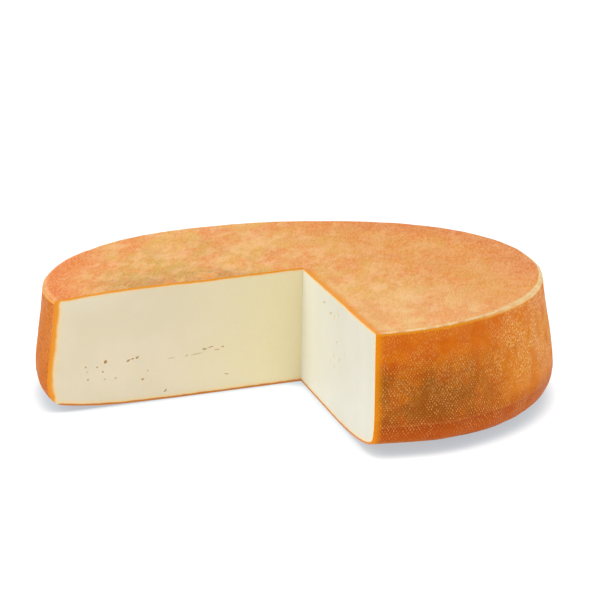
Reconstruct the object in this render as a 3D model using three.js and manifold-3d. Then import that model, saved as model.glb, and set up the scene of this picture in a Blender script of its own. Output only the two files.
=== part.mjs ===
// A whole semi-hard washed-rind cheese wheel with one wedge cut out of it.
// Units are millimetres, +Z is up, and the wheel stands on z = 0.
import * as THREE from "three";
import { mergeVertices } from "three/addons/utils/BufferGeometryUtils.js";
import Module from "manifold-3d";

// Driving dimensions of the wheel, and the points of its upright section from the foot to the top.
// A bend is a curve's handle: the section leans towards it and doesn't reach it.
const WHEEL_HEIGHT = 72.8;
const FOOT_RADIUS = 76;
const UNDERSIDE_BEND = new THREE.Vector2(120, 0.8);
const LIFTED_RIM = new THREE.Vector2(152.5, 7.3);
const RIM_BEND = new THREE.Vector2(159.6, 9.7);
const BELLY = new THREE.Vector2(160, 19);
const BELLY_BEND = new THREE.Vector2(159.9, 28);
const SIDE_BEND = new THREE.Vector2(155.5, 50);
const SHOULDER = new THREE.Vector2(153, 68);
const CREST_RADIUS = 152.4;
const TOP_EDGE_RADIUS = 145;
const RIM_START_RADIUS = 112;
const INNER_RING_RADIUS = 56;
const ROUND_SEGMENTS = 112;
const CURVE_SEGMENTS = 5;

// The wedge that was cut out: two cuts that meet near the wheel's middle, at the top. The second cut
// leans a little, so at the table their corner has moved by the lean towards -X.
const NOTCH_CORNER = new THREE.Vector2(11.05, 10.4);
const FIRST_CUT_ANGLE = THREE.MathUtils.degToRad(180);
const SECOND_CUT_ANGLE = THREE.MathUtils.degToRad(258.8);
const CUT_LEAN = 1.5;
const CUT_REACH = 260;
const CUT_OVERSHOOT = 20;

// The top leans very slightly, because the curd settled more on one side of the mould.
const TOP_SLOPE = 0.012;
const TOP_SLOPE_ANGLE = THREE.MathUtils.degToRad(-25.4);

// The wheel is not perfectly round. Each patch of the side is a smooth swell or dent, in millimetres:
// low and high move the foot end and the top end of the side outwards, rim lifts the top edge, and foot
// lifts the rim of the foot.
const UNEVEN_PATCHES = [
  { azimuth: 176, spread: 42, low: -2.6, high: -0.2, rim: -1.6, foot: -2.4 },
  { azimuth: -34, spread: 46, low: -0.3, high: -0.3, rim: 0.2, foot: -1 },
  { azimuth: 12, spread: 62, low: 0, high: 0.6, rim: 2.3, foot: 0 },
  { azimuth: 128, spread: 52, low: -0.4, high: 0.3, rim: 0.2, foot: 0 },
  { azimuth: -84, spread: 38, low: -0.8, high: 0.4, rim: 0.2, foot: 0 },
  { azimuth: 150, spread: 32, low: 1.2, high: 2.4, rim: -1.5, foot: -1.4 },
  { azimuth: -97, spread: 17, low: -8.2, high: -0.4, rim: 0, foot: -0.9 },
  { azimuth: -66, spread: 40, low: 0, high: 0, rim: 0, foot: -2.4 },
];

const RIND_COLOUR = 0xcf7a2c;

// Half of the wheel's upright section, from the middle of the foot to the middle of the top. The foot
// lifts towards its rim, the side leans out to a full belly low down, and the top edge is crisp.
function uprightSection() {
  const section = new THREE.Path();
  section.moveTo(0, 0);
  section.lineTo(FOOT_RADIUS / 2, 0);
  section.lineTo(FOOT_RADIUS, 0);
  section.quadraticCurveTo(...UNDERSIDE_BEND, ...LIFTED_RIM);
  section.quadraticCurveTo(...RIM_BEND, ...BELLY);
  section.bezierCurveTo(...BELLY_BEND, ...SIDE_BEND, ...SHOULDER);
  section.quadraticCurveTo(CREST_RADIUS, WHEEL_HEIGHT, TOP_EDGE_RADIUS, WHEEL_HEIGHT);
  section.lineTo(RIM_START_RADIUS, WHEEL_HEIGHT);
  section.lineTo(INNER_RING_RADIUS, WHEEL_HEIGHT);
  section.lineTo(0, WHEEL_HEIGHT);
  return section.getPoints(CURVE_SEGMENTS);
}

// Height of a smooth hump at an angle, one at its azimuth and zero beyond its spread.
function hump(angleDegrees, patch) {
  const turn = THREE.MathUtils.euclideanModulo(angleDegrees - patch.azimuth + 180, 360) - 180;
  return Math.abs(turn) < patch.spread ? Math.cos((turn / patch.spread) * (Math.PI / 2)) ** 2 : 0;
}

// Moves one point of the round wheel on to the slightly uneven real one. Points at z = 0 stay down.
function settle(point) {
  const angle = Math.atan2(point.y, point.x);
  const radius = Math.hypot(point.x, point.y);
  const rise = point.z / WHEEL_HEIGHT;
  const outer = Math.min(1, radius / CREST_RADIUS) ** 2;
  const rim = THREE.MathUtils.smoothstep(radius, RIM_START_RADIUS, CREST_RADIUS);
  const footRim = THREE.MathUtils.smoothstep(radius, FOOT_RADIUS, CREST_RADIUS);
  let outwards = 0;
  let upwards = TOP_SLOPE * radius * Math.cos(angle - TOP_SLOPE_ANGLE) * rise;
  for (const patch of UNEVEN_PATCHES) {
    const amount = hump(THREE.MathUtils.radToDeg(angle), patch);
    outwards += amount * outer * THREE.MathUtils.lerp(patch.low, patch.high, rise);
    upwards += amount * (rim * rise * patch.rim + footRim * (1 - rise) * patch.foot);
  }
  const stretch = 1 + outwards / radius;
  point.set(point.x * stretch, point.y * stretch, point.z + upwards);
}

function wheelGeometry() {
  const geometry = new THREE.LatheGeometry(uprightSection(), ROUND_SEGMENTS);
  geometry.rotateX(Math.PI / 2);
  const position = geometry.attributes.position;
  const point = new THREE.Vector3();
  for (let i = 0; i < position.count; i += 1) {
    point.fromBufferAttribute(position, i);
    if (point.z > 0 && Math.hypot(point.x, point.y) > 0) {
      settle(point);
    }
    position.setXYZ(i, point.x, point.y, point.z);
  }
  return geometry;
}

// A tall leaning prism that fills the missing wedge and runs past the top, the foot and the rim.
function notchGeometry() {
  const along = (angle) =>
    new THREE.Vector2(Math.cos(angle), Math.sin(angle)).multiplyScalar(CUT_REACH).add(NOTCH_CORNER);
  const middleAngle = (FIRST_CUT_ANGLE + SECOND_CUT_ANGLE) / 2;
  const outline = new THREE.Shape([
    NOTCH_CORNER,
    along(FIRST_CUT_ANGLE),
    along(middleAngle),
    along(SECOND_CUT_ANGLE),
  ]);
  const geometry = new THREE.ExtrudeGeometry(outline, {
    depth: WHEEL_HEIGHT + 2 * CUT_OVERSHOOT,
    bevelEnabled: false,
  });
  geometry.translate(0, 0, -CUT_OVERSHOOT - WHEEL_HEIGHT);
  geometry.applyMatrix4(new THREE.Matrix4().makeShear(0, 0, 0, 0, CUT_LEAN / WHEEL_HEIGHT, 0));
  geometry.translate(0, 0, WHEEL_HEIGHT);
  return geometry;
}

const wasm = await Module();
wasm.setup();

function toSolid(geometry) {
  const bare = geometry.clone();
  bare.deleteAttribute("normal");
  bare.deleteAttribute("uv");
  const welded = mergeVertices(bare, 1e-4);
  return new wasm.Manifold(
    new wasm.Mesh({
      numProp: 3,
      vertProperties: Float32Array.from(welded.attributes.position.array),
      triVerts: Uint32Array.from(welded.index.array),
    }),
  );
}

function toGeometry(solid) {
  const mesh = solid.getMesh();
  const geometry = new THREE.BufferGeometry();
  geometry.setAttribute("position", new THREE.BufferAttribute(mesh.vertProperties, 3));
  geometry.setIndex(new THREE.BufferAttribute(mesh.triVerts, 1));
  geometry.computeVertexNormals();
  return geometry;
}

const cutWheel = toGeometry(toSolid(wheelGeometry()).subtract(toSolid(notchGeometry())));

// The origin is the middle of the wheel's outline on the table.
cutWheel.computeBoundingBox();
const middle = cutWheel.boundingBox.getCenter(new THREE.Vector3());
cutWheel.translate(-middle.x, -middle.y, 0);

const cheese = new THREE.Mesh(
  cutWheel,
  new THREE.MeshStandardMaterial({ color: RIND_COLOUR, roughness: 0.62, metalness: 0 }),
);
cheese.name = "cheese_wheel";

const part = new THREE.Group();
part.name = "cheese_wheel_part";
part.add(cheese);

export default part;
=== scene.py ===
"""A round semi-hard washed-rind cheese with one wedge cut out of it, on a pale table."""
import math

import bpy
import numpy as np
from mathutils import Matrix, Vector
from mathutils.bvhtree import BVHTree
from mathutils.geometry import interpolate_bezier


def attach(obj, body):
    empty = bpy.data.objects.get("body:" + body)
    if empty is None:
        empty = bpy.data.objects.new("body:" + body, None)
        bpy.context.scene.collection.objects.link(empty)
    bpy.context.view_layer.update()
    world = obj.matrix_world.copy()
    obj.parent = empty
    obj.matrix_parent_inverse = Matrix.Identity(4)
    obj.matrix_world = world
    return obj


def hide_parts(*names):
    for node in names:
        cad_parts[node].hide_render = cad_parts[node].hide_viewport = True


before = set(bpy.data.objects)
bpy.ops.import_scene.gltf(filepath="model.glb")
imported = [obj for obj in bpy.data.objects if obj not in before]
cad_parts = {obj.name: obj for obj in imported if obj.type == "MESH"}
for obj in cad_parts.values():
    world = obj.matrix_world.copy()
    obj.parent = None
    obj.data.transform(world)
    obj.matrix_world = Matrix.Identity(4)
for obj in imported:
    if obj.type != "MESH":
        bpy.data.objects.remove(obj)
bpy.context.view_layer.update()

MM = 0.001

# The wheel's upright section in millimetres (radius, height). A bend is a curve's handle.
WHEEL_HEIGHT = 72.8
FOOT_RADIUS = 76.0
UNDERSIDE_BEND = (120.0, 0.8)
LIFTED_RIM = (152.5, 7.3)
RIM_BEND = (159.6, 9.7)
BELLY = (160.0, 19.0)
BELLY_BEND = (159.9, 28.0)
SIDE_BEND = (155.5, 50.0)
SHOULDER = (153.0, 68.0)
CREST_BEND = (153.0, 73.7)
LIP_BEND = (149.8, 73.2)
TOP_EDGE = (145.0, WHEEL_HEIGHT)
CREST_RADIUS = 152.4
RIM_START_RADIUS = 112.0
POLE_RADIUS = 3.0
FIRST_RING_RADIUS = 12.0

# The top leans very slightly, and the side has smooth swells and dents. Each patch has its azimuth and
# half width in degrees, then how far it moves the low side and the high side outwards and lifts the rim
# of the top and the rim of the foot, in millimetres.
TOP_SLOPE = 0.012
TOP_SLOPE_ANGLE = math.radians(-25.4)
UNEVEN_PATCHES = [
    (176, 42, -2.6, -0.2, -1.6, -2.4),
    (-34, 46, -0.3, -0.3, 0.2, -1.0),
    (12, 62, 0.0, 0.6, 2.3, 0.0),
    (128, 52, -0.4, 0.3, 0.2, 0.0),
    (-84, 38, -0.8, 0.4, 0.2, 0.0),
    (150, 32, 1.2, 2.4, -1.5, -1.4),
    (-97, 17, -8.2, -0.4, 0.0, -0.9),
    (-66, 40, 0.0, 0.0, 0.0, -2.4),
]

# A crease runs round the side just above the foot.
CREASE_HEIGHT = 17.2
CREASE_WIDTH = 0.9
CREASE_DEPTH = 0.28

# The two cuts meet at the notch corner, which is given at the top's height. The second cut leans a
# little, so at the table the corner has moved by the lean towards -X. The wheel's own axis stands a
# little off the origin, because the origin is the middle of the whole outline.
CUT_LEAN = 1.5 * MM
AXIS = Vector((-1.161, -1.048, 0.0)) * MM
NOTCH_CORNER = Vector((11.05, 10.4, 0.0)) * MM + AXIS
FIRST_CUT_ANGLE = math.radians(180.0)
SECOND_CUT_ANGLE = math.radians(258.8)
CUT_REACH = 260 * MM
MIDDLE_REACH = 338 * MM
CUT_OVERSHOOT = 20 * MM
CORNER_REACH = 3 * MM

# Eyes, slits and shallow pits in the paste of each cut: how far out from the notch corner, height,
# length, width and tilt in degrees, then how deep it goes, all in millimetres.
FIRST_CUT_EYES = [
    (131.9, 28.1, 2.3, 2.0, 40, 1.4),
    (117.3, 27.1, 2.4, 1.3, 25, 1.0),
    (114.5, 27.9, 2.1, 0.9, 15, 0.8),
    (111.3, 28.4, 2.2, 1.3, 30, 1.0),
    (144.7, 26.2, 1.2, 0.9, 0, 0.6),
    (137.4, 25.3, 1.2, 0.9, 20, 0.7),
    (133.8, 22.0, 1.3, 1.0, 0, 0.7),
    (143.8, 23.1, 1.0, 0.8, 0, 0.4),
    (143.4, 18.2, 1.3, 1.1, 60, 0.5),
    (132.7, 17.3, 1.0, 0.8, 0, 0.4),
    (125.6, 17.2, 1.6, 0.9, 10, 0.4),
    (108.2, 14.3, 1.9, 1.2, 10, 0.9),
    (104.8, 19.2, 1.1, 0.9, 0, 0.3),
    (93.4, 5.3, 2.3, 1.1, 45, 0.8),
    (89.0, 25.4, 4.6, 0.5, 4, 0.2),
    (79.0, 25.8, 2.2, 0.6, 20, 0.25),
    (72.4, 26.0, 8.0, 0.45, 8, 0.3),
    (67.1, 28.5, 3.0, 0.9, -4, 0.9),
    (62.9, 29.3, 4.0, 0.6, 12, 0.5),
    (58.7, 27.2, 3.8, 0.6, 2, 0.4),
    (55.0, 28.7, 2.0, 0.8, 0, 0.5),
    (52.6, 10.9, 3.2, 0.7, -18, 0.4),
]
SECOND_CUT_EYES = [
    (52.5, 63.9, 7.0, 1.4, -8, 0.35),
    (68.0, 60.9, 5.4, 1.6, -20, 0.6),
    (84.5, 64.4, 6.0, 1.3, 16, 0.35),
    (77.0, 60.6, 5.0, 2.2, -40, 0.25),
    (83.2, 47.1, 3.2, 1.3, -30, 0.45),
    (69.6, 33.0, 3.6, 1.2, 60, 0.35),
    (76.0, 37.2, 6.0, 1.0, 30, 0.25),
    (78.4, 31.6, 5.6, 1.4, 35, 0.25),
    (90.2, 38.3, 4.0, 1.2, -60, 0.4),
    (101.0, 45.0, 3.0, 1.0, -50, 0.2),
]

# Orange under the rind: how deep it reaches at the top, at the foot and at the side of each cut.
TOP_BAND = 1.0
FOOT_BAND = 1.25
FIRST_SIDE_BAND = 3.0
SECOND_SIDE_BAND = 0.45

# Depths under the rind are measured inside this radius and between these heights.
EDGE_CLEAR_RADIUS = 149.0
EDGE_CLEAR_LOW = 10.0
EDGE_CLEAR_HIGH = 69.0

# Soft lumps over the rind: name, size and height in millimetres. They start just off the table and reach
# their full height a little further up.
LUMPS = (("broad lumps", 34, 0.9), ("small lumps", 8, 0.3))
LUMPS_START = 0.3
LUMPS_FULL = 5.0

# How finely the wheel and its cuts are built.
ROUND_STEPS = 384
CUT_GRID = 64
EYE_ROUNDNESS = 3
MERGE_DISTANCE = 0.001 * MM
SMOOTH_ANGLE = math.radians(40)

# The radius that turns an angle into a length round the side, in millimetres.
SIDE_RADIUS = 157.0


def srgb(red, green, blue):
    """A colour given in display values from 0 to 255, as the linear colour that shaders use."""
    channels = [value / 255 for value in (red, green, blue)]
    linear = [c / 12.92 if c <= 0.04045 else ((c + 0.055) / 1.055) ** 2.4 for c in channels]
    return (*linear, 1.0)


# ---------------------------------------------------------------- the wheel's shape


def bend(start, handle, end, steps):
    """Points of a curve with one handle, without its start."""
    start, handle, end = (Vector((*point, 0.0)) for point in (start, handle, end))
    first, second = start.lerp(handle, 2 / 3), end.lerp(handle, 2 / 3)
    return [tuple(point[:2]) for point in interpolate_bezier(start, first, second, end, steps + 1)[1:]]


def two_bends(start, first, second, end, steps):
    """Points of a curve with two handles, without its start."""
    corners = [Vector((*point, 0.0)) for point in (start, first, second, end)]
    return [tuple(point[:2]) for point in interpolate_bezier(*corners, steps + 1)[1:]]


def upright_section():
    """The rings of the wheel from the middle of the foot to the middle of the top."""
    rings = [(radius, 0.0) for radius in np.linspace(FIRST_RING_RADIUS, FOOT_RADIUS, 6)]
    rings += bend(rings[-1], UNDERSIDE_BEND, LIFTED_RIM, 16)
    rings += bend(LIFTED_RIM, RIM_BEND, BELLY, 24)
    rings += two_bends(BELLY, BELLY_BEND, SIDE_BEND, SHOULDER, 30)
    rings += two_bends(SHOULDER, CREST_BEND, LIP_BEND, TOP_EDGE, 16)
    rings += [(radius, WHEEL_HEIGHT) for radius in np.linspace(TOP_EDGE[0], POLE_RADIUS, 44)[1:]]
    return rings


def deselect_all():
    for chosen in bpy.context.selected_objects:
        chosen.select_set(False)


def make_active(piece):
    deselect_all()
    piece.select_set(True)
    bpy.context.view_layer.objects.active = piece


def build_whole_wheel():
    """A ring is drawn out and scaled along the section, then closed at the middle of the top."""
    deselect_all()
    rings = upright_section()
    radius, height = rings[0]
    bpy.ops.mesh.primitive_circle_add(
        vertices=ROUND_STEPS, radius=radius * MM, fill_type="TRIFAN", location=(0, 0, height * MM)
    )
    wheel = bpy.context.object
    wheel.name = "cheese"
    bpy.ops.object.mode_set(mode="EDIT")
    bpy.ops.mesh.region_to_loop()
    for next_radius, next_height in rings[1:]:
        rise = (next_height - height) * MM
        bpy.ops.mesh.extrude_region_move(TRANSFORM_OT_translate={"value": (0, 0, rise)})
        growth = next_radius / radius
        bpy.ops.transform.resize(value=(growth, growth, 1), center_override=(0, 0, next_height * MM))
        radius, height = next_radius, next_height
    bpy.ops.mesh.merge(type="CENTER")
    bpy.ops.mesh.select_all(action="SELECT")
    bpy.ops.mesh.normals_make_consistent(inside=False)
    bpy.ops.object.mode_set(mode="OBJECT")
    return wheel


def read_points(mesh):
    points = np.empty(len(mesh.vertices) * 3)
    mesh.vertices.foreach_get("co", points)
    return points.reshape(-1, 3)


def write_points(mesh, points):
    mesh.vertices.foreach_set("co", points.ravel())
    mesh.update()


def smooth_rise(values, low, high):
    share = np.clip((values - low) / (high - low), 0, 1)
    return share * share * (3 - 2 * share)


def settle(wheel):
    """Moves the round wheel's points on to the slightly uneven real one, and on to its axis."""
    points = read_points(wheel.data) / MM
    x, y, z = points.T
    azimuth, radius = np.arctan2(y, x), np.maximum(np.hypot(x, y), 1e-6)
    rise = z / WHEEL_HEIGHT
    outer = np.minimum(1, radius / CREST_RADIUS) ** 2
    rim = smooth_rise(radius, RIM_START_RADIUS, CREST_RADIUS)
    foot_rim = smooth_rise(radius, FOOT_RADIUS, CREST_RADIUS)
    outwards = np.zeros(len(points))
    upwards = TOP_SLOPE * radius * np.cos(azimuth - TOP_SLOPE_ANGLE) * rise
    for centre, spread, low, high, rim_lift, foot_lift in UNEVEN_PATCHES:
        turn = (np.degrees(azimuth) - centre + 180) % 360 - 180
        amount = np.where(np.abs(turn) < spread, np.cos(turn / spread * np.pi / 2) ** 2, 0)
        outwards += amount * outer * (low + (high - low) * rise)
        upwards += amount * (rim * rise * rim_lift + foot_rim * (1 - rise) * foot_lift)
    # A shallow crease runs round the foot, where the cloth was folded under.
    crease = np.exp(-(((z - CREASE_HEIGHT) / CREASE_WIDTH) ** 2)) * (radius > FOOT_RADIUS)
    outwards -= CREASE_DEPTH * crease
    free = z > 0
    x[free] *= (1 + outwards / radius)[free]
    y[free] *= (1 + outwards / radius)[free]
    z[free] += upwards[free]
    write_points(wheel.data, points * MM + np.array(AXIS))


def add_lumps(wheel):
    """Low soft lumps over the rind, none under the flat foot that the wheel stands on."""
    free = wheel.vertex_groups.new(name="off_the_table")
    heights = read_points(wheel.data)[:, 2]
    for index in np.flatnonzero(heights > LUMPS_START * MM):
        share = min(1.0, float(heights[index]) / (LUMPS_FULL * MM))
        free.add([int(index)], share, "REPLACE")
    for name, size, depth in LUMPS:
        texture = bpy.data.textures.new(name, type="CLOUDS")
        texture.noise_scale = size * MM
        texture.noise_depth = 1
        lumps = wheel.modifiers.new(name, "DISPLACE")
        lumps.texture = texture
        lumps.texture_coords = "LOCAL"
        lumps.strength = depth * MM
        lumps.vertex_group = free.name
        make_active(wheel)
        bpy.ops.object.modifier_apply(modifier=lumps.name)


def along(angle, distance):
    return Vector((math.cos(angle), math.sin(angle), 0)) * distance


def lean_at(height):
    """How far the notch corner has moved along X at a height."""
    return CUT_LEAN * (height / (WHEEL_HEIGHT * MM) - 1)


def build_blade():
    """The block of air that the missing wedge leaves, with a fine grid on its two cut faces."""
    deselect_all()
    bpy.ops.mesh.primitive_cube_add(size=1)
    blade = bpy.context.object
    blade.name = "blade"
    middle_angle = (FIRST_CUT_ANGLE + SECOND_CUT_ANGLE) / 2
    posts = {
        (1, 1): NOTCH_CORNER,
        (-1, 1): NOTCH_CORNER + along(FIRST_CUT_ANGLE, CUT_REACH),
        (-1, -1): NOTCH_CORNER + along(middle_angle, MIDDLE_REACH),
        (1, -1): NOTCH_CORNER + along(SECOND_CUT_ANGLE, CUT_REACH),
    }
    top, bottom = WHEEL_HEIGHT * MM + CUT_OVERSHOOT, -CUT_OVERSHOOT
    for vertex in blade.data.vertices:
        post = posts[(round(2 * vertex.co.x), round(2 * vertex.co.y))]
        height = top if vertex.co.z > 0 else bottom
        vertex.co = (post.x + lean_at(height), post.y, height)
    bpy.ops.object.mode_set(mode="EDIT")
    bpy.ops.mesh.select_all(action="DESELECT")
    bpy.ops.object.mode_set(mode="OBJECT")
    # Only the two upright faces that meet at the notch corner are cut into the grid.
    for face in blade.data.polygons:
        corners = [blade.data.vertices[index].co for index in face.vertices]
        offsets = [Vector((co.x, co.y, 0)) - NOTCH_CORNER for co in corners]
        meets_corner = any(offset.length < CORNER_REACH for offset in offsets)
        is_upright = abs(face.normal.z) < 0.5
        face.select = meets_corner and is_upright
    bpy.ops.object.mode_set(mode="EDIT")
    bpy.ops.mesh.select_mode(type="FACE")
    bpy.ops.mesh.subdivide(number_cuts=CUT_GRID - 1)
    bpy.ops.mesh.select_all(action="SELECT")
    bpy.ops.mesh.normals_make_consistent(inside=False)
    bpy.ops.object.mode_set(mode="OBJECT")
    return blade


def build_eye_cutters(angle, eyes, leaning):
    """Small flattened balls, half sunk in one cut face."""
    cutters = []
    for distance, height, length, width, tilt, depth in eyes:
        shift = lean_at(height * MM) if leaning else 0
        place = NOTCH_CORNER + along(angle, distance * MM) + Vector((shift, 0, height * MM))
        deselect_all()
        bpy.ops.mesh.primitive_ico_sphere_add(
            subdivisions=EYE_ROUNDNESS,
            radius=0.5 * MM,
            location=place,
            rotation=(0, math.radians(tilt), angle),
            scale=(length, 2 * depth, width),
        )
        cutters.append(bpy.context.object)
    return cutters


def join(pieces, name):
    make_active(pieces[0])
    for piece in pieces[1:]:
        piece.select_set(True)
    bpy.ops.object.join()
    bpy.ops.object.transform_apply(location=True, rotation=True, scale=True)
    bpy.context.object.name = name
    return bpy.context.object


def subtract(piece, cutter):
    cut = piece.modifiers.new("cut", "BOOLEAN")
    cut.operation = "DIFFERENCE"
    cut.solver = "EXACT"
    cut.material_mode = "TRANSFER"
    cut.object = cutter
    make_active(piece)
    bpy.ops.object.modifier_apply(modifier=cut.name)
    bpy.data.objects.remove(cutter)


def store_depths(piece, whole_surface):
    """Stores how deep each point lies under the top, the side and the foot, in millimetres.

    Each is measured along one straight line, from a point kept clear of the rounded edges, so that it
    runs evenly up to the corners of the cut.
    """
    up, down = Vector((0, 0, 1)), Vector((0, 0, -1))
    depths = {"under_top": [], "under_side": [], "under_foot": []}
    for vertex in piece.data.vertices:
        off_axis = vertex.co - AXIS
        flat = Vector((off_axis.x, off_axis.y, 0))
        inner = flat.normalized() * min(flat.length, EDGE_CLEAR_RADIUS * MM) + AXIS
        top = whole_surface.ray_cast(inner + up * WHEEL_HEIGHT / 2 * MM, up)[0]
        foot = whole_surface.ray_cast(inner + up * WHEEL_HEIGHT / 2 * MM, down)[0]
        level = min(max(vertex.co.z, EDGE_CLEAR_LOW * MM), EDGE_CLEAR_HIGH * MM)
        start = AXIS + Vector((0, 0, level))
        side = whole_surface.ray_cast(start, flat.normalized())[0]
        depths["under_top"].append((top.z - vertex.co.z) / MM)
        depths["under_foot"].append((vertex.co.z - foot.z) / MM)
        depths["under_side"].append(((side - start).length - flat.length) / MM)
    for name, values in depths.items():
        piece.data.attributes.new(name, "FLOAT", "POINT").data.foreach_set("value", values)


def build_cheese(rind, paste, eye_wall):
    wheel = build_whole_wheel()
    settle(wheel)
    add_lumps(wheel)
    whole_surface = BVHTree.FromObject(wheel, bpy.context.evaluated_depsgraph_get())
    wheel.data.materials.append(rind)
    blade = build_blade()
    blade.data.materials.append(paste)
    subtract(wheel, blade)
    eyes = build_eye_cutters(FIRST_CUT_ANGLE, FIRST_CUT_EYES, leaning=False)
    eyes += build_eye_cutters(SECOND_CUT_ANGLE, SECOND_CUT_EYES, leaning=True)
    eye_block = join(eyes, "eye_block")
    eye_block.data.materials.append(eye_wall)
    subtract(wheel, eye_block)
    make_active(wheel)
    bpy.ops.object.mode_set(mode="EDIT")
    bpy.ops.mesh.select_all(action="SELECT")
    bpy.ops.mesh.remove_doubles(threshold=MERGE_DISTANCE)
    bpy.ops.object.mode_set(mode="OBJECT")
    store_depths(wheel, whole_surface)
    make_active(wheel)
    bpy.ops.object.shade_smooth_by_angle(angle=SMOOTH_ANGLE)
    return wheel


# ---------------------------------------------------------------- shader helpers


def node(tree, kind, inputs=None, **settings):
    """Adds a node, sets its properties, and links or fills its inputs by name or number."""
    made = tree.nodes.new(kind)
    for name, value in settings.items():
        setattr(made, name, value)
    for key, value in (inputs or {}).items():
        if isinstance(value, bpy.types.NodeSocket):
            tree.links.new(value, made.inputs[key])
        else:
            made.inputs[key].default_value = value
    return made


def calculate(tree, operation, *values):
    return node(tree, "ShaderNodeMath", dict(enumerate(values)), operation=operation).outputs[0]


def multiply(tree, first, *others):
    result = first
    for other in others:
        result = calculate(tree, "MULTIPLY", result, other)
    return result


def either(tree, first, second):
    return calculate(tree, "MAXIMUM", first, second)


def vector_calculate(tree, operation, *values):
    made = node(tree, "ShaderNodeVectorMath", dict(enumerate(values)), operation=operation)
    return made.outputs["Value" if operation in ("DOT_PRODUCT", "LENGTH", "DISTANCE") else "Vector"]


def fade(tree, value, start, end, low=0.0, high=1.0):
    """Rises smoothly from low at start to high at end, and stays within them."""
    inputs = {"Value": value, "From Min": start, "From Max": end, "To Min": low, "To Max": high}
    return node(tree, "ShaderNodeMapRange", inputs, interpolation_type="SMOOTHSTEP").outputs["Result"]


def blend(tree, share, under, over, mode="MIX"):
    """Mixes two colours."""
    made = node(tree, "ShaderNodeMix", data_type="RGBA", blend_type=mode)
    for key, value in ((0, share), (6, under), (7, over)):
        if isinstance(value, bpy.types.NodeSocket):
            tree.links.new(value, made.inputs[key])
        else:
            made.inputs[key].default_value = value
    return made.outputs[2]


def noise(tree, vector, scale, detail=3.0, roughness=0.55, distortion=0.0):
    inputs = {
        "Vector": vector,
        "Scale": scale,
        "Detail": detail,
        "Roughness": roughness,
        "Distortion": distortion,
    }
    return node(tree, "ShaderNodeTexNoise", inputs).outputs["Fac"]


def stretch(tree, vector, lengths, angle=0.0):
    """Makes a pattern longer along three axes, the first of them turned from X by an angle in degrees."""
    inputs = {"Vector": vector, "Rotation": (0, 0, math.radians(angle)), "Scale": lengths}
    return node(tree, "ShaderNodeMapping", inputs, vector_type="TEXTURE").outputs["Vector"]


def new_group(name, inputs, outputs):
    """A shader node group with its sockets, and its two end nodes."""
    group = bpy.data.node_groups.new(name, "ShaderNodeTree")
    for socket, (kind, value) in inputs.items():
        made = group.interface.new_socket(socket, in_out="INPUT", socket_type=kind)
        if value is not None:
            made.default_value = value
    for socket, kind in outputs.items():
        group.interface.new_socket(socket, in_out="OUTPUT", socket_type=kind)
    return group, group.nodes.new("NodeGroupInput").outputs, group.nodes.new("NodeGroupOutput").inputs


def use(tree, group, **inputs):
    """Places a group. Underscores in the names of its inputs stand for spaces."""
    made = tree.nodes.new("ShaderNodeGroup")
    made.node_tree = group
    for name, value in inputs.items():
        socket = made.inputs[name.replace("_", " ")]
        if isinstance(value, bpy.types.NodeSocket):
            tree.links.new(value, socket)
        else:
            socket.default_value = value
    return made.outputs


FLOAT, VECTOR = "NodeSocketFloat", "NodeSocketVector"


def build_wheel_place():
    """Where a point is on the wheel, in millimetres: round the side, above the table, from the axis."""
    group, _, out = new_group(
        "wheel place",
        {},
        {
            "Point": VECTOR,
            "Side": VECTOR,
            "Around": FLOAT,
            "Height": FLOAT,
            "Radius": FLOAT,
            "First cut": FLOAT,
            "Second cut": FLOAT,
        },
    )
    place = node(group, "ShaderNodeTexCoord").outputs["Object"]
    off_axis = vector_calculate(group, "SUBTRACT", place, tuple(AXIS))
    point = vector_calculate(group, "MULTIPLY", off_axis, (1 / MM,) * 3)
    parts = node(group, "ShaderNodeSeparateXYZ", {0: point}).outputs
    flat = vector_calculate(group, "MULTIPLY", point, (1, 1, 0))
    radius = vector_calculate(group, "LENGTH", flat)
    turn = calculate(group, "ARCTAN2", parts["Y"], parts["X"])
    around = calculate(group, "MULTIPLY", turn, SIDE_RADIUS)
    side = node(group, "ShaderNodeCombineXYZ", {"X": around, "Y": parts["Z"]}).outputs[0]
    corner = (NOTCH_CORNER - AXIS) / MM + Vector((0, 0, WHEEL_HEIGHT))
    from_corner = vector_calculate(group, "SUBTRACT", point, tuple(corner))
    first_normal = (0.0, 1.0, 0.0)
    lean = CUT_LEAN / (WHEEL_HEIGHT * MM)
    across = -math.sin(SECOND_CUT_ANGLE)
    second_normal = (across, math.cos(SECOND_CUT_ANGLE), -across * lean)

    def beside(normal, direction):
        """Distance from a cut face, and far away on the other side of the notch corner."""
        off = vector_calculate(group, "DOT_PRODUCT", from_corner, normal)
        past = vector_calculate(group, "DOT_PRODUCT", from_corner, tuple(direction))
        return calculate(group, "ADD", off, fade(group, past, 1.0, -3.0, 0.0, 50.0))

    links = {
        "Point": point,
        "Side": side,
        "Around": around,
        "Height": parts["Z"],
        "Radius": radius,
        "First cut": beside(first_normal, along(FIRST_CUT_ANGLE, 1)),
        "Second cut": beside(second_normal, along(SECOND_CUT_ANGLE, 1)),
    }
    for name, value in links.items():
        group.links.new(value, out[name])
    return group


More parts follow.
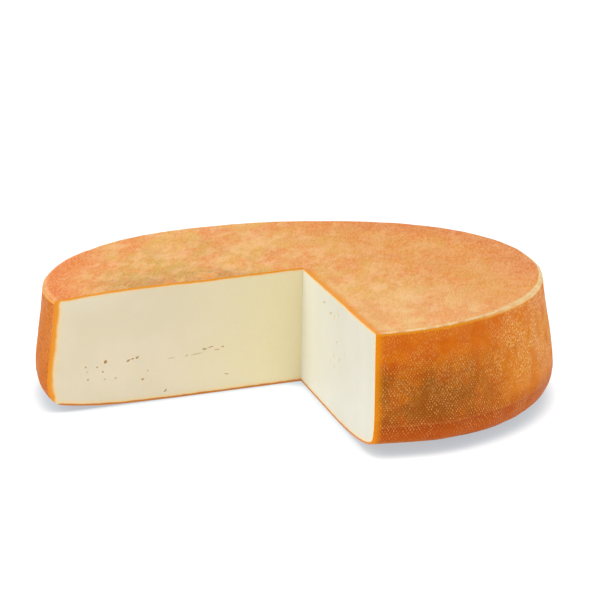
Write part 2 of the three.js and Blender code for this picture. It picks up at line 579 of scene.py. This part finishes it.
def build_mottle():
    """Soft blotches: a mask from noise, with its grain size in millimetres and its two limits."""
    group, get, out = new_group(
        "mottle",
        {
            "Vector": (VECTOR, None),
            "Size": (FLOAT, 20.0),
            "Detail": (FLOAT, 3.0),
            "Low": (FLOAT, 0.4),
            "High": (FLOAT, 0.6),
            "Seed": (FLOAT, 0.0),
        },
        {"Mask": FLOAT},
    )
    shift = node(group, "ShaderNodeCombineXYZ", {"X": get["Seed"], "Z": get["Seed"]}).outputs[0]
    moved = vector_calculate(group, "ADD", get["Vector"], shift)
    scale = calculate(group, "DIVIDE", 1.0, get["Size"])
    raw = noise(group, moved, scale, get["Detail"], 0.6)
    group.links.new(fade(group, raw, get["Low"], get["High"]), out["Mask"])
    return group


def build_cloth_print():
    """The dots that a cheese cloth leaves: staggered rows on a surface laid out in millimetres."""
    group, get, out = new_group(
        "cloth print",
        {"Vector": (VECTOR, None), "Row": (FLOAT, 1.3), "Pitch": (FLOAT, 1.89), "Wander": (FLOAT, 0.16)},
        {"Dots": FLOAT, "Weave": FLOAT},
    )
    wobble = node(
        group, "ShaderNodeTexNoise", {"Vector": get["Vector"], "Scale": 0.12, "Detail": 1.0}
    ).outputs["Color"]
    centred = vector_calculate(group, "SUBTRACT", wobble, (0.5, 0.5, 0.5))
    drift = vector_calculate(group, "MULTIPLY", centred, (3.0, 3.0, 0.0))
    laid = vector_calculate(group, "ADD", get["Vector"], drift)
    parts = node(group, "ShaderNodeSeparateXYZ", {0: laid}).outputs
    across = calculate(group, "DIVIDE", parts["X"], get["Pitch"])
    half_row = calculate(group, "MULTIPLY", get["Row"], 2.0)
    up = calculate(group, "DIVIDE", parts["Y"], half_row)
    rising = calculate(group, "ADD", across, up)
    falling = calculate(group, "SUBTRACT", up, across)
    cell = node(group, "ShaderNodeCombineXYZ", {"X": rising, "Y": falling}).outputs[0]
    inputs = {"Vector": cell, "Scale": 1.0, "Randomness": get["Wander"]}
    nearest = node(group, "ShaderNodeTexVoronoi", inputs, voronoi_dimensions="2D").outputs
    chance = node(group, "ShaderNodeSeparateColor", {0: nearest["Color"]}).outputs
    size = fade(group, chance[1], 0.0, 1.0, 0.26, 0.42)
    dot = fade(group, calculate(group, "DIVIDE", nearest["Distance"], size), 1.0, 0.35)
    group.links.new(multiply(group, dot, fade(group, chance[0], 0.0, 0.9, 0.3, 1.0)), out["Dots"])
    waves = [calculate(group, "COSINE", multiply(group, way, 2 * math.pi)) for way in (rising, falling)]
    threads = calculate(group, "ADD", *waves)
    group.links.new(multiply(group, threads, 0.5), out["Weave"])
    return group


def new_material(name):
    material = bpy.data.materials.new(name)
    material.use_nodes = True
    tree = material.node_tree
    tree.nodes.clear()
    shader = tree.nodes.new("ShaderNodeBsdfPrincipled")
    output = tree.nodes.new("ShaderNodeOutputMaterial")
    tree.links.new(shader.outputs["BSDF"], output.inputs["Surface"])
    return material, tree, shader


def blotches(tree, groups, vector, size, detail, low, high, seed=0.0):
    """The mottle group's mask, for one grain size in millimetres and one seed."""
    inputs = {"Size": size, "Detail": detail, "Low": low, "High": high, "Seed": seed}
    return use(tree, groups["mottle"], Vector=vector, **inputs)["Mask"]


def tint(tree, colour, shade, *shares):
    """Lays a shade, in display values, over a colour as far as all the shares together say."""
    return blend(tree, multiply(tree, *shares), colour, srgb(*shade))


def bump(tree, height, strength, depth, under=None):
    """The surface's direction with a relief, on top of another relief if there is one."""
    inputs = {"Height": height, "Strength": strength, "Distance": depth * MM}
    if under is not None:
        inputs["Normal"] = under
    return node(tree, "ShaderNodeBump", inputs).outputs["Normal"]


# ---------------------------------------------------------------- the rind

# The rind's colours, in display values from 0 to 255.
SIDE_SHADES = {
    "dark orange": (196, 84, 2),
    "orange": (214, 106, 4),
    "light orange": (222, 124, 6),
    "olive brown": (142, 78, 6),
    "brown grain": (160, 68, 0),
    "dry orange": (232, 136, 10),
    "foot": (172, 68, 0),
    "lowest edge": (190, 88, 4),
    "crease": (160, 50, 2),
    "ridge_highlight": (228, 150, 70),
    "under the crest": (218, 108, 2),
    "beyond the first cut": (210, 108, 2),
    "brown speckle": (156, 86, 10),
    "cloth dot": (234, 172, 90),
    "bloom": (247, 206, 128),
}
TOP_SHADES = {
    "peach": (238, 182, 98),
    "salmon": (240, 148, 80),
    "warm orange": (230, 140, 48),
    "right rim, salmon and painted shade": (220, 112, 62),
    "tan": (216, 170, 82),
    "left rim": (236, 116, 50),
    "orange cloud": (236, 134, 64),
    "pale patch": (252, 200, 144),
    "dark stroke": (216, 122, 56),
    "light grain": (252, 206, 134),
    "front": (244, 196, 132),
    "cloth dot": (254, 224, 176),
    "dull speck": (178, 134, 84),
}
FOOT_SHADES = {
    "brown": (176, 84, 8),
    "light brown": (204, 112, 20),
    "dark grain": (146, 64, 4),
    "cloth dot": (232, 170, 100),
}
EDGE_SHADES = {
    "yellow line": (238, 156, 20),
    "crest highlight": (252, 226, 170),
    "painted light beside the first cut": (232, 138, 14),
    "painted light beside the second cut": (240, 146, 4),
}

# Where each stretch of the side starts and is full, in millimetres round it, from +X towards +Y.
RIPE_STRETCH = (-165.0, -222.0)
DRY_STRETCH = (-205.0, -150.0)
DRY_FADES = (60.0, 260.0)
SPECKLED_STRETCH = (350.0, 430.0)
WIDE_CREST = (-215.0, -130.0)

# How deep the rind's relief goes, in millimetres.
PRINT_DEPTH = 0.22
PORE_DEPTH = 0.4


def side_colour(tree, place, groups):
    """The upright side: orange, browner and more finely dotted on one stretch, redder at the foot."""
    side, around, height = place["Side"], place["Around"], place["Height"]
    shades = SIDE_SHADES
    blotch = blotches(tree, groups, side, 24.0, 5.0, 0.4, 0.6)
    patch = blotches(tree, groups, side, 8.0, 5.0, 0.44, 0.6, 31.0)
    grain = blotches(tree, groups, side, 1.2, 3.0, 0.32, 0.68, 7.0)
    brown = blotches(tree, groups, side, 20.0, 4.0, 0.34, 0.56, 44.0)
    colour = blend(tree, blotch, srgb(*shades["dark orange"]), srgb(*shades["orange"]))
    colour = tint(tree, colour, shades["light orange"], patch, 0.6)

    # The ripest stretch is brown with an olive tinge, between the foot band and the shoulder.
    ripe_here = fade(tree, around, *RIPE_STRETCH, 0.12, 1.0)
    ripe = multiply(tree, fade(tree, brown, 0.0, 1.0, 0.45, 1.0), ripe_here)
    between = multiply(tree, fade(tree, height, 10.0, 20.0), fade(tree, height, 60.0, 44.0))
    colour = tint(tree, colour, shades["olive brown"], ripe, between, 0.85)
    colour = tint(tree, colour, shades["brown grain"], grain, 0.3)

    # Drier and lighter where the wheel turns away from that stretch.
    dry = multiply(tree, fade(tree, around, *DRY_STRETCH), fade(tree, around, *DRY_FADES, 1.0, 0.5))
    colour = tint(tree, colour, shades["dry orange"], dry, 0.55)

    # The foot band, its lowest edge, a painted shade in the crease above it and a painted highlight on the
    # ridge over the crease.
    foot = fade(tree, height, CREASE_HEIGHT + 9.0, CREASE_HEIGHT - 2.0)
    colour = tint(tree, colour, shades["foot"], foot, 0.75)
    colour = tint(tree, colour, shades["lowest edge"], fade(tree, height, 10.0, 6.5), 0.5)
    from_crease = calculate(tree, "SUBTRACT", height, CREASE_HEIGHT)
    crease = multiply(tree, fade(tree, from_crease, -1.1, -0.2), fade(tree, from_crease, 0.9, 0.2))
    colour = tint(tree, colour, shades["crease"], crease, 0.4)
    ridge_highlight = multiply(tree, fade(tree, from_crease, 0.5, 1.2), fade(tree, from_crease, 2.6, 1.5))
    colour = tint(tree, colour, shades["ridge_highlight"], ridge_highlight, 0.12)
    colour = tint(tree, colour, shades["under the crest"], fade(tree, height, 50.0, 62.0), 0.55)

    # The narrow stretch beyond the first cut is darker and speckled.
    beyond = fade(tree, around, *SPECKLED_STRETCH)
    colour = tint(tree, colour, shades["beyond the first cut"], beyond, 0.75)
    speckle = blotches(tree, groups, side, 1.8, 4.0, 0.44, 0.56, 61.0)
    colour = tint(tree, colour, shades["brown speckle"], speckle, beyond, 0.7)

    # The cloth's dots come and go in patches, and are faint near the crest and at the foot.
    dots = use(tree, groups["cloth print"], Vector=side)["Dots"]
    seen = blotches(tree, groups, side, 12.0, 4.0, 0.36, 0.56, 53.0)
    strength = multiply(
        tree,
        fade(tree, seen, 0.0, 1.0, 0.35, 1.0),
        fade(tree, height, 66.0, 50.0, 0.2, 0.8),
        fade(tree, around, -120.0, -190.0, 0.8, 1.0),
        fade(tree, height, 8.0, 22.0, 0.6, 1.0),
        fade(tree, beyond, 0.0, 1.0, 1.0, 0.5),
    )
    colour = tint(tree, colour, shades["cloth dot"], dots, strength)

    # Whitish bloom: short upright flecks, thick on the dry stretch and rare elsewhere.
    upright = stretch(tree, side, (1.0, 1.7, 1.0))
    fleck = blotches(tree, groups, upright, 0.9, 2.0, 0.5, 0.6, 90.0)
    thick = blotches(tree, groups, side, 14.0, 4.0, 0.38, 0.54, 11.0)
    bloom = multiply(
        tree,
        fleck,
        thick,
        fade(tree, height, 20.0, 44.0, 0.2, 1.0),
        fade(tree, dry, 0.0, 1.0, 0.2, 0.85),
        fade(tree, beyond, 0.0, 1.0, 1.0, 0.25),
    )
    return tint(tree, colour, shades["bloom"], bloom)


def flat_colour(tree, place, groups):
    """The top: peach and salmon, with tan patches, fine strokes and dull specks near the first cut."""
    point, radius = place["Point"], place["Radius"]
    parts = node(tree, "ShaderNodeSeparateXYZ", {0: point}).outputs
    across, along_y = parts["X"], parts["Y"]
    shades = TOP_SHADES
    long_patch = stretch(tree, point, (2.2, 1.0, 1.0), 60)
    stroked = stretch(tree, point, (4.5, 1.0, 1.0), 46)
    drawn = stretch(tree, point, (3.6, 1.0, 1.0), 62)
    salmon = blotches(tree, groups, long_patch, 26.0, 4.0, 0.42, 0.58, 3.0)
    tan = blotches(tree, groups, long_patch, 15.0, 6.0, 0.4, 0.56, 71.0)
    cloud = blotches(tree, groups, long_patch, 7.0, 6.0, 0.42, 0.6, 15.0)
    pale = blotches(tree, groups, long_patch, 9.0, 6.0, 0.46, 0.62, 29.0)
    stroke = blotches(tree, groups, stroked, 1.5, 4.0, 0.4, 0.58, 40.0)
    grain = blotches(tree, groups, drawn, 1.3, 2.0, 0.4, 0.6, 83.0)
    colour = blend(tree, salmon, srgb(*shades["peach"]), srgb(*shades["salmon"]))

    # Broad areas: warmer on the right, salmon at the right and left rims, tan in the middle. The far right
    # rim is darker and redder: partly the rind's own salmon streaks, and partly painted shade.
    rim = fade(tree, radius, 116.0, 148.0)
    colour = tint(tree, colour, shades["warm orange"], fade(tree, across, 10.0, 90.0), 0.7)
    right = multiply(tree, fade(tree, across, 60.0, 110.0), fade(tree, along_y, -100.0, -50.0))
    colour = tint(tree, colour, shades["right rim, salmon and painted shade"], rim, right, 0.65)
    middle = multiply(tree, fade(tree, radius, 138.0, 110.0), fade(tree, across, 20.0, -40.0, 0.25, 1.0))
    colour = tint(tree, colour, shades["tan"], tan, middle, 0.9)
    left_rim = multiply(tree, rim, fade(tree, across, -60.0, -120.0))
    colour = tint(tree, colour, shades["left rim"], left_rim, 0.9)

    # Small clouds, pale patches, strokes and grain over all of it.
    colour = tint(tree, colour, shades["orange cloud"], cloud, 0.3)
    off_left_rim = fade(tree, left_rim, 0.0, 1.0, 1.0, 0.3)
    paler = multiply(tree, fade(tree, across, 90.0, 20.0, 0.4, 1.0), off_left_rim)
    colour = tint(tree, colour, shades["pale patch"], pale, paler, 0.55)
    colour = tint(tree, colour, shades["dark stroke"], stroke, 0.22)
    colour = tint(tree, colour, shades["light grain"], grain, 0.28)

    # Cloth marks show best near the crest between the second cut and the dry stretch.
    near_front = multiply(
        tree,
        fade(tree, along_y, -50.0, -110.0),
        fade(tree, salmon, 1.0, 0.0, 0.4, 1.0),
        fade(tree, across, 90.0, 40.0, 0.15, 1.0),
    )
    colour = tint(tree, colour, shades["front"], near_front, 0.45)
    dots = use(tree, groups["cloth print"], Vector=point)["Dots"]
    colour = tint(tree, colour, shades["cloth dot"], dots, fade(tree, near_front, 0.0, 1.0, 0.12, 0.8))

    # Dull specks in a strip along the first cut.
    speck = blotches(tree, groups, stroked, 1.3, 4.0, 0.5, 0.62, 22.0)
    dull = blotches(tree, groups, long_patch, 14.0, 4.0, 0.36, 0.56, 64.0)
    strip = multiply(
        tree,
        fade(tree, place["First cut"], 50.0, 6.0),
        fade(tree, across, -130.0, -100.0),
        fade(tree, across, 0.0, -40.0),
    )
    return tint(tree, colour, shades["dull speck"], dull, strip, fade(tree, speck, 0.0, 1.0, 0.3, 0.95), 0.8)


def foot_colour(tree, place, groups):
    """The underside: darker and more even, printed by the board's cloth."""
    point = place["Point"]
    shades = FOOT_SHADES
    blotch = blotches(tree, groups, point, 36.0, 5.0, 0.4, 0.6, 8.0)
    grain = blotches(tree, groups, point, 1.6, 3.0, 0.34, 0.66, 27.0)
    colour = blend(tree, blotch, srgb(*shades["brown"]), srgb(*shades["light brown"]))
    colour = tint(tree, colour, shades["dark grain"], grain, 0.4)
    dots = use(tree, groups["cloth print"], Vector=point)["Dots"]
    return tint(tree, colour, shades["cloth dot"], dots, 0.5)


def edge_colour(tree, colour, place, upwards):
    """The crest's painted highlight and the painted light on the rind beside the two cuts, over the rest of
    the rind.
    """
    around, point = place["Around"], place["Point"]
    shades = EDGE_SHADES
    ragged = calculate(tree, "SUBTRACT", noise(tree, point, 0.5, 4.0), 0.5)
    rough_up = calculate(tree, "ADD", upwards, multiply(tree, ragged, 0.3))
    shoulder = multiply(tree, fade(tree, upwards, 0.12, 0.3), fade(tree, upwards, 0.62, 0.45))
    colour = tint(tree, colour, shades["yellow line"], shoulder, 0.65)

    # A painted highlight runs as a pale line along the rounded crest: thin at the cuts, and wide on the dry
    # stretch.
    off_flat = fade(tree, upwards, 0.995, 0.975)
    worn = noise(tree, point, 0.12, 4.0)
    thin = multiply(
        tree,
        fade(tree, rough_up, 0.42, 0.62),
        fade(tree, rough_up, 0.93, 0.8),
        fade(tree, worn, 0.34, 0.56, 0.3, 0.8),
        fade(tree, around, 260.0, 400.0, 1.0, 0.35),
    )
    wide = multiply(
        tree,
        fade(tree, rough_up, 0.2, 0.42),
        fade(tree, rough_up, 1.07, 0.95),
        fade(tree, around, *WIDE_CREST),
        fade(tree, around, 120.0, 10.0, 0.3, 1.0),
        fade(tree, worn, 0.36, 0.6, 0.6, 0.9),
    )
    colour = tint(tree, colour, shades["crest highlight"], either(tree, thin, wide), off_flat)

    # Painted light: the rind beside each cut is painted lighter and yellower, as light that shines through
    # its thin edge.
    first = multiply(tree, fade(tree, place["First cut"], 1.9, 0.5), fade(tree, around, 0.0, 1.0))
    first = multiply(tree, first, fade(tree, ragged, -0.12, 0.08, 0.55, 1.0))
    colour = tint(tree, colour, shades["painted light beside the first cut"], first, 0.8)
    second = multiply(tree, fade(tree, place["Second cut"], 6.0, 0.4), fade(tree, around, 0.0, -1.0))
    return tint(tree, colour, shades["painted light beside the second cut"], second, 0.78)


def build_rind(groups):
    """The washed outside of the wheel."""
    material, tree, shader = new_material("washed rind")
    cloth = groups["cloth print"]
    place = use(tree, groups["wheel place"])
    point = place["Point"]
    facing = node(tree, "ShaderNodeTexCoord").outputs["Normal"]
    upwards = node(tree, "ShaderNodeSeparateXYZ", {0: facing}).outputs["Z"]
    on_top = fade(tree, upwards, 0.55, 0.9)
    on_foot = fade(tree, upwards, -0.6, -0.9)
    colour = blend(tree, on_top, side_colour(tree, place, groups), flat_colour(tree, place, groups))
    colour = blend(tree, on_foot, colour, foot_colour(tree, place, groups))
    colour = edge_colour(tree, colour, place, upwards)

    side_weave = use(tree, cloth, Vector=place["Side"])["Weave"]
    flat_weave = multiply(tree, use(tree, cloth, Vector=point)["Weave"], 0.5)
    is_flat = either(tree, on_top, on_foot)
    weave = node(tree, "ShaderNodeMix", {0: is_flat, 2: side_weave, 3: flat_weave}).outputs[0]
    pores = noise(tree, point, 0.9, 4.0, 0.6)
    relief = bump(tree, pores, 0.3, PORE_DEPTH, bump(tree, weave, 0.3, PRINT_DEPTH))
    damp = blotches(tree, groups, point, 15.0, 3.0, 0.4, 0.6, 12.0)
    tree.links.new(colour, shader.inputs["Base Color"])
    tree.links.new(fade(tree, damp, 0.0, 1.0, 0.5, 0.66), shader.inputs["Roughness"])
    tree.links.new(relief, shader.inputs["Normal"])
    shader.inputs["Specular IOR Level"].default_value = 0.08
    shader.inputs["Subsurface Weight"].default_value = 0.04
    shader.inputs["Subsurface Radius"].default_value = (1.0, 0.45, 0.15)
    shader.inputs["Subsurface Scale"].default_value = 1.5 * MM
    return material


# ---------------------------------------------------------------- the paste

PASTE_SHADES = {
    "first": (226, 213, 184),
    "first, cloudy": (230, 216, 189),
    "first, inner": (236, 224, 184),
    "first, under the top": (232, 224, 202),
    "first, painted corner light": (248, 234, 190),
    "second": (213, 210, 195),
    "second, cloudy": (217, 213, 200),
    "second, inner": (225, 223, 206),
    "second, painted corner light": (244, 241, 222),
    "fine grain": (224, 208, 172),
    "yellow": (244, 212, 150),
    "orange": (236, 152, 34),
    "foot line": (206, 122, 40),
    "skin": (222, 122, 16),
}
EYE_SHADES = {
    "shade": (206, 170, 110),
    "light": (222, 194, 144),
    "second cut": (222, 210, 180),
}

# How far the yellow reaches beyond the orange at the top, the foot and the side, in millimetres.
TOP_HALO = 1.6
FOOT_HALO = 2.4
SIDE_HALO = 3.4

# How deep the paste's relief goes, in millimetres.
DRAG_DEPTH = 0.25
CRUMB_DEPTH = 0.35


def paste_colour(tree, place, groups, under_top):
    """The two cut faces without their edges: the first is painted yellower and the second paler, a painted
    difference in light between the two faces.
    """
    point, radius = place["Point"], place["Radius"]
    shades = PASTE_SHADES
    cloudy = blotches(tree, groups, point, 30.0, 2.0, 0.35, 0.65)
    fine = blotches(tree, groups, point, 2.6, 3.0, 0.35, 0.68, 19.0)
    # Towards the middle the paste is yellower and lighter: partly its own tone, and partly painted light
    # that lifts the shade of the notch corner. Right at the corner it is painted light only.
    inner = fade(tree, radius, 90.0, 20.0)
    corner_painted_light = fade(tree, radius, 34.0, 14.0)
    near_top = multiply(tree, fade(tree, under_top, 16.0, 2.0), fade(tree, radius, 90.0, 140.0))
    first = blend(tree, cloudy, srgb(*shades["first"]), srgb(*shades["first, cloudy"]))
    first = tint(tree, first, shades["first, inner"], inner, 0.9)
    first = tint(tree, first, shades["first, under the top"], near_top, 0.5)
    first = tint(tree, first, shades["first, painted corner light"], corner_painted_light, 0.2)
    second = blend(tree, cloudy, srgb(*shades["second"]), srgb(*shades["second, cloudy"]))
    second = tint(tree, second, shades["second, inner"], inner, 0.8)
    second = tint(tree, second, shades["second, painted corner light"], corner_painted_light, 0.3)
    # The second face is painted paler and cooler than the first: painted light, one colour for each face
    # direction of the same paste.
    facing = node(tree, "ShaderNodeTexCoord").outputs["Normal"]
    sideways = node(tree, "ShaderNodeSeparateXYZ", {0: facing}).outputs["X"]
    on_second = fade(tree, sideways, -0.4, -0.7)
    colour = blend(tree, on_second, first, second)
    return tint(tree, colour, shades["fine grain"], fine, 0.1), on_second


def build_paste(groups):
    """The cut paste: ivory and even, orange just under the rind."""
    material, tree, shader = new_material("cut paste")
    place = use(tree, groups["wheel place"])
    point = place["Point"]
    shades = PASTE_SHADES
    under = {
        name: node(tree, "ShaderNodeAttribute", attribute_name=name).outputs["Fac"]
        for name in ("under_top", "under_side", "under_foot")
    }
    colour, on_second = paste_colour(tree, place, groups, under["under_top"])

    # Under the rind the paste is first orange, then fades through yellow. The line at the top and at the
    # foot is thin, and the side of the first cut has the widest one.
    wander = noise(tree, point, 0.12, 3.0)
    loose = fade(tree, wander, 0.3, 0.7, 0.88, 1.12)
    side_bands = {0: on_second, 2: FIRST_SIDE_BAND, 3: SECOND_SIDE_BAND}
    side_band = node(tree, "ShaderNodeMix", side_bands).outputs[0]

    def band(name, depth, halo):
        """One where the paste is orange, and one where it is at least yellow."""
        share = calculate(tree, "DIVIDE", under[name], multiply(tree, depth, loose))
        past = calculate(tree, "SUBTRACT", under[name], depth)
        return fade(tree, share, 1.4, 0.6), fade(tree, past, halo, 0.0)

    top, top_halo = band("under_top", TOP_BAND, TOP_HALO)
    foot, foot_halo = band("under_foot", FOOT_BAND, FOOT_HALO)
    flank, flank_halo = band("under_side", side_band, SIDE_HALO)
    halo = either(tree, either(tree, top_halo, foot_halo), flank_halo)
    colour = tint(tree, colour, shades["yellow"], halo, 0.75)
    colour = tint(tree, colour, shades["orange"], either(tree, flank, top))
    colour = tint(tree, colour, shades["foot line"], foot)
    colour = tint(tree, colour, shades["skin"], fade(tree, under["under_side"], 0.9, 0.2), 0.5)

    # The knife leaves faint upright drag lines.
    drag = noise(tree, stretch(tree, point, (1.0, 1.0, 16.0)), 0.7, 3.0)
    crumb = noise(tree, point, 0.6, 5.0, 0.65)
    relief = bump(tree, crumb, 0.2, CRUMB_DEPTH, bump(tree, drag, 0.22, DRAG_DEPTH))
    tree.links.new(colour, shader.inputs["Base Color"])
    tree.links.new(fade(tree, crumb, 0.3, 0.7, 0.42, 0.56), shader.inputs["Roughness"])
    tree.links.new(relief, shader.inputs["Normal"])
    shader.inputs["Specular IOR Level"].default_value = 0.2
    shader.inputs["Subsurface Weight"].default_value = 0.2
    shader.inputs["Subsurface Radius"].default_value = (1.0, 0.75, 0.4)
    shader.inputs["Subsurface Scale"].default_value = 3 * MM
    return material


def build_eye_wall(groups):
    """The inside of the eyes: a little moist and painted darker, partly a painted shade in the hollows, and
    paler in the second cut.
    """
    material, tree, shader = new_material("eye wall")
    place = use(tree, groups["wheel place"])
    wet = blotches(tree, groups, place["Point"], 0.8, 2.0, 0.4, 0.6, 5.0)
    # The darker wall colour is partly painted shade in the hollows.
    colour = blend(tree, wet, srgb(*EYE_SHADES["shade"]), srgb(*EYE_SHADES["light"]))
    on_second = fade(tree, place["Second cut"], -4.0, -2.5)
    colour = tint(tree, colour, EYE_SHADES["second cut"], on_second, 0.75)
    tree.links.new(colour, shader.inputs["Base Color"])
    tree.links.new(fade(tree, wet, 0.0, 1.0, 0.3, 0.5), shader.inputs["Roughness"])
    return material


# ---------------------------------------------------------------- table, light and camera

TABLE_WIDTH = 14.0
TABLE_DROP = 0.2 * MM
SHADOW_REACH = 15 * MM

# Name, azimuth and elevation in degrees, distance and width in metres, watts, and colour.
LAMPS = (
    ("key", -95, 32, 1.6, 0.9, 7.5, (0.93, 0.97, 1.0)),
    ("top", 0, 88, 1.5, 1.2, 2.5, (1.0, 0.99, 0.97)),
)
SKY_COLOUR = (1.0, 0.985, 0.96, 1)
SKY_STRENGTH = 0.78

CAMERA_AZIMUTH = -25.37
CAMERA_ELEVATION = 14.2
CAMERA_DISTANCE = 1.4199
CAMERA_TARGET = Vector((0.0021, -0.0025, 0.0558))
CAMERA_LENS = 137.9
CAMERA_SENSOR = 36


def build_table():
    deselect_all()
    bpy.ops.mesh.primitive_plane_add(size=TABLE_WIDTH, location=(0, 0, -TABLE_DROP))
    table = bpy.context.object
    table.name = "table"
    material, tree, shader = new_material("white table")
    shader.inputs["Base Color"].default_value = (0.32, 0.35, 0.36, 1)
    shader.inputs["Roughness"].default_value = 0.9
    shader.inputs["Specular IOR Level"].default_value = 0.05
    # The table glows a little, as if lit from below, and its glow is dimmed and turned bluish where the
    # wheel is close above it: a painted contact shadow.
    reach = {"Distance": SHADOW_REACH}
    openness = node(tree, "ShaderNodeAmbientOcclusion", reach, samples=12).outputs["AO"]
    glow_with_painted_shadow = blend(tree, fade(tree, openness, 0.3, 0.95), (0.4, 0.47, 0.52, 1), (0.88, 0.87, 0.87, 1))
    tree.links.new(glow_with_painted_shadow, shader.inputs["Emission Color"])
    shader.inputs["Emission Strength"].default_value = 1.0
    table.data.materials.append(material)


def direction(azimuth, elevation):
    """From the wheel towards a place given by two angles. Azimuth 0 is the front, -Y."""
    return Vector(
        (
            math.sin(azimuth) * math.cos(elevation),
            -math.cos(azimuth) * math.cos(elevation),
            math.sin(elevation),
        )
    )


def add_soft_light(name, azimuth, elevation, distance, size, power, colour):
    """A square lamp that looks at the wheel's middle."""
    towards = direction(math.radians(azimuth), math.radians(elevation))
    lamp = bpy.data.lights.new(name, "AREA")
    lamp.shape = "SQUARE"
    lamp.size = size
    lamp.energy = power
    lamp.color = colour
    placed = bpy.data.objects.new(name, lamp)
    placed.location = towards * distance + Vector((0, 0, WHEEL_HEIGHT / 2 * MM))
    placed.rotation_euler = towards.to_track_quat("Z", "Y").to_euler()
    bpy.context.scene.collection.objects.link(placed)


def build_studio():
    scene = bpy.context.scene
    world = bpy.data.worlds.new("studio")
    world.use_nodes = True
    backdrop = world.node_tree.nodes["Background"]
    backdrop.inputs["Color"].default_value = SKY_COLOUR
    backdrop.inputs["Strength"].default_value = SKY_STRENGTH
    scene.world = world
    for lamp in LAMPS:
        add_soft_light(*lamp)
    scene.view_settings.view_transform = "Standard"
    scene.view_settings.look = "None"


def build_camera():
    azimuth, elevation = math.radians(CAMERA_AZIMUTH), math.radians(CAMERA_ELEVATION)
    camera = bpy.data.cameras.new("camera")
    camera.sensor_width = CAMERA_SENSOR
    camera.lens = CAMERA_LENS
    placed = bpy.data.objects.new("camera", camera)
    placed.location = CAMERA_TARGET + direction(azimuth, elevation) * CAMERA_DISTANCE
    placed.rotation_euler = (math.pi / 2 - elevation, 0, azimuth)
    bpy.context.scene.collection.objects.link(placed)
    bpy.context.scene.camera = placed


groups = {
    "wheel place": build_wheel_place(),
    "mottle": build_mottle(),
    "cloth print": build_cloth_print(),
}
build_camera()
cheese = build_cheese(build_rind(groups), build_paste(groups), build_eye_wall(groups))
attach(cheese, "root")
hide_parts("cheese_wheel")
build_table()
build_studio()
